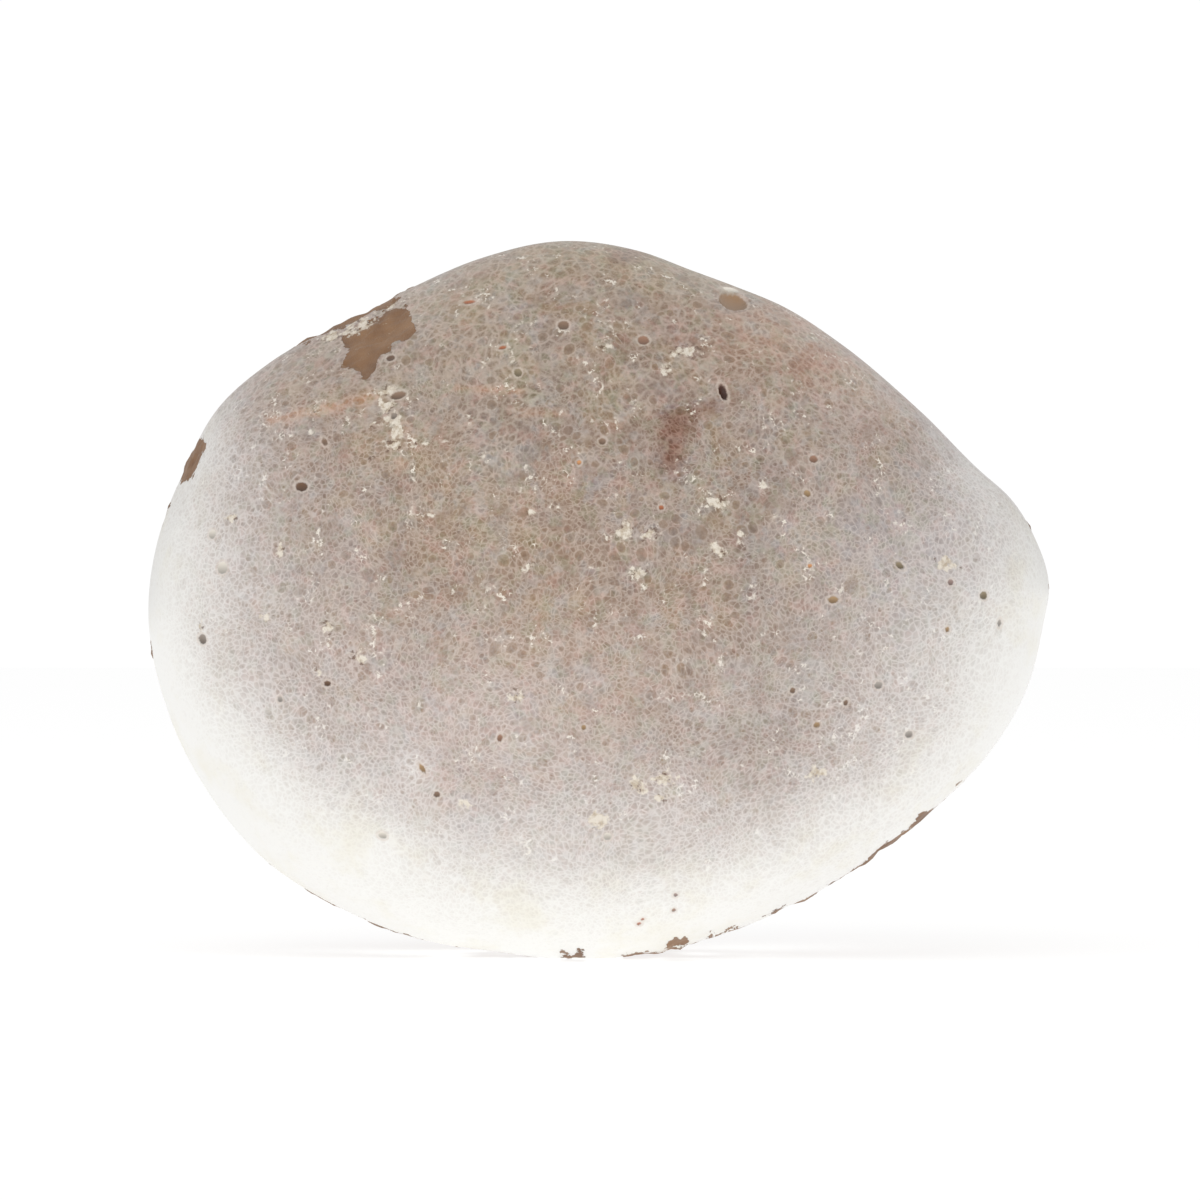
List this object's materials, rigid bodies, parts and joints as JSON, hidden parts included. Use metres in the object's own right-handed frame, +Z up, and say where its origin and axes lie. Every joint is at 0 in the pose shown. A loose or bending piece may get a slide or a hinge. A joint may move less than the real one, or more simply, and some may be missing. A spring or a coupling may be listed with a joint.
{
  "type": "agate nodule",
  "caption": "Whole polished agate nodule, a smooth rounded egg-like stone that rests on a small flat spot underneath.",
  "frame": {"origin": "on the surface the stone rests on, under the middle of its bounding box", "axes": "+Z up, out of the small flat it rests on; +X along the stone's long axis, towards the tapered end; +Y from the broad front to the back"},
  "size_m": [0.1, 0.0828, 0.0795],
  "materials": {
    "agate": "polished, opaque stone"
  },
  "bodies": {
    "root": {"agate_nodule": "agate"}
  },
  "joints": []
}
